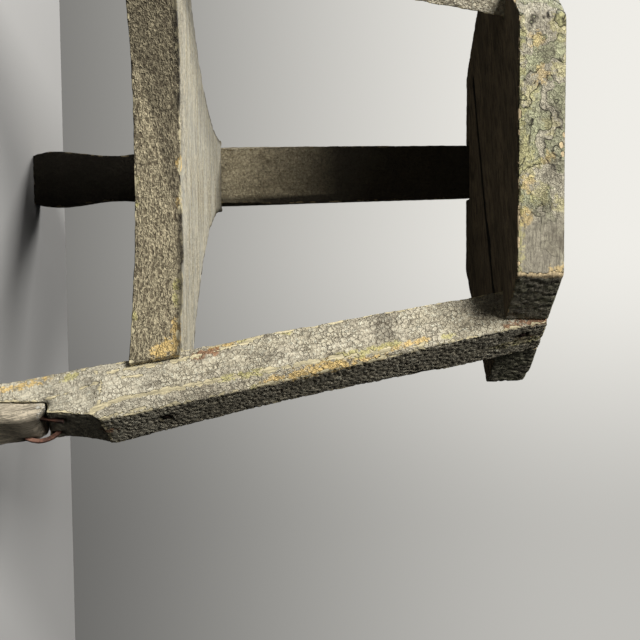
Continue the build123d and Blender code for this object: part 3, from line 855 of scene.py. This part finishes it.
for node in ("seat_nails", "board_nails", "splice_toe_nail", "splice_bent_nail"):
    nails = dense_copy(node, "forged_" + node, nail_facet)
    skin = nails.data
    spots = corners_of(skin)
    pitting = ripple(spots, (nail_pit_size, nail_pit_size, nail_pit_size), 17.0)
    move_corners(skin, spots - normals_of(skin) * (nail_pit_depth * (pitting[:, None] + 0.6)))
    skin.materials.append(bright_rust if node == "splice_bent_nail" else shaded_rust)
    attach(nails, "root")
    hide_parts(node)

# Floor: a plain pale table top, whose far edge shows behind the stool as it does in the photograph.
floor_far_edge = seat_axis.y + 0.334
floor_reach = 1.6

floor_skin = bpy.data.meshes.new("floor")
floor_corners = [
    (-floor_reach, -floor_reach, 0.0), (floor_reach, -floor_reach, 0.0),
    (floor_reach, floor_far_edge, 0.0), (-floor_reach, floor_far_edge, 0.0),
]
floor_skin.from_pydata(floor_corners, [], [(0, 1, 2, 3)])
floor = bpy.data.objects.new("floor", floor_skin)
bpy.context.scene.collection.objects.link(floor)
floor_finish = bpy.data.materials.new("pale_floor")
floor_finish.use_nodes = True
# The stool catches little light from below in the photograph, so only the camera sees the pale tone.
floor_tree = floor_finish.node_tree
floor_seen = add(floor_tree, "LightPath").outputs["Is Camera Ray"]
floor_tone = blend(floor_tree, floor_seen, shade(52, 51, 49), shade(176, 174, 170))
floor_tree.links.new(floor_tone, floor_tree.nodes["Principled BSDF"].inputs["Base Color"])
floor_tree.nodes["Principled BSDF"].inputs["Roughness"].default_value = 0.6
floor_skin.materials.append(floor_finish)

# Light: one broad soft lamp high on the left in front, and a weak one from the other side.
stool_middle = Vector((0.0, seat_axis.y, 0.25))


def soft_lamp(name, direction, height_angle, distance, size, power):
    lamp = bpy.data.lights.new(name, "AREA")
    lamp.size = size
    lamp.energy = power
    stand = bpy.data.objects.new(name, lamp)
    climb = math.radians(height_angle)
    away = turned(direction) * math.cos(climb) + Vector((0.0, 0.0, math.sin(climb)))
    stand.location = stool_middle + away * distance
    stand.rotation_euler = away.to_track_quat("Z", "Y").to_euler()
    bpy.context.scene.collection.objects.link(stand)


soft_lamp("key_lamp", direction=241.5, height_angle=29.5, distance=2.2, size=0.8, power=72.0)
soft_lamp("back_lamp", direction=140.0, height_angle=32.0, distance=2.6, size=1.2, power=60.0)

# The wall behind has painted light and shade: pale above and to the left, darker below and to the right.
# Only the camera sees it.
world = bpy.data.worlds.new("studio")
bpy.context.scene.world = world
world.use_nodes = True
sky = world.node_tree
looking = add(sky, "SeparateXYZ", {0: add(sky, "TexCoord").outputs["Generated"]}).outputs
wall = blend(sky, ramp(sky, looking["Z"], -0.36, 0.26), shade(106, 105, 102), shade(239, 237, 231))
wall = blend(sky, ramp(sky, looking["X"], 0.0, 0.27, 0.0, 0.42), wall, shade(60, 60, 59))
seen = add(sky, "LightPath").outputs["Is Camera Ray"]
sky.links.new(blend(sky, seen, shade(30, 31, 32), wall), sky.nodes["Background"].inputs["Color"])
bpy.context.scene.view_settings.view_transform = "Standard"

# Camera: at the place and height that the photograph was taken from, turned a quarter turn as it was.
camera_place = seat_axis + Vector((0.0540, -0.8846, 0.3018))
camera_turn_right = math.radians(4.49)
camera_tilt_up = math.radians(-1.05)
camera_roll = math.radians(90.0 - 0.33)

lens = bpy.data.cameras.new("camera")
lens.lens = 62.457
lens.sensor_width = 36.0
camera = bpy.data.objects.new("camera", lens)
turn = Matrix.Rotation(-camera_turn_right, 4, "Z")
tilt = Matrix.Rotation(math.radians(90.0) + camera_tilt_up, 4, "X")
camera.matrix_world = Matrix.Translation(camera_place) @ turn @ tilt @ Matrix.Rotation(camera_roll, 4, "Z")
bpy.context.scene.collection.objects.link(camera)
bpy.context.scene.camera = camera
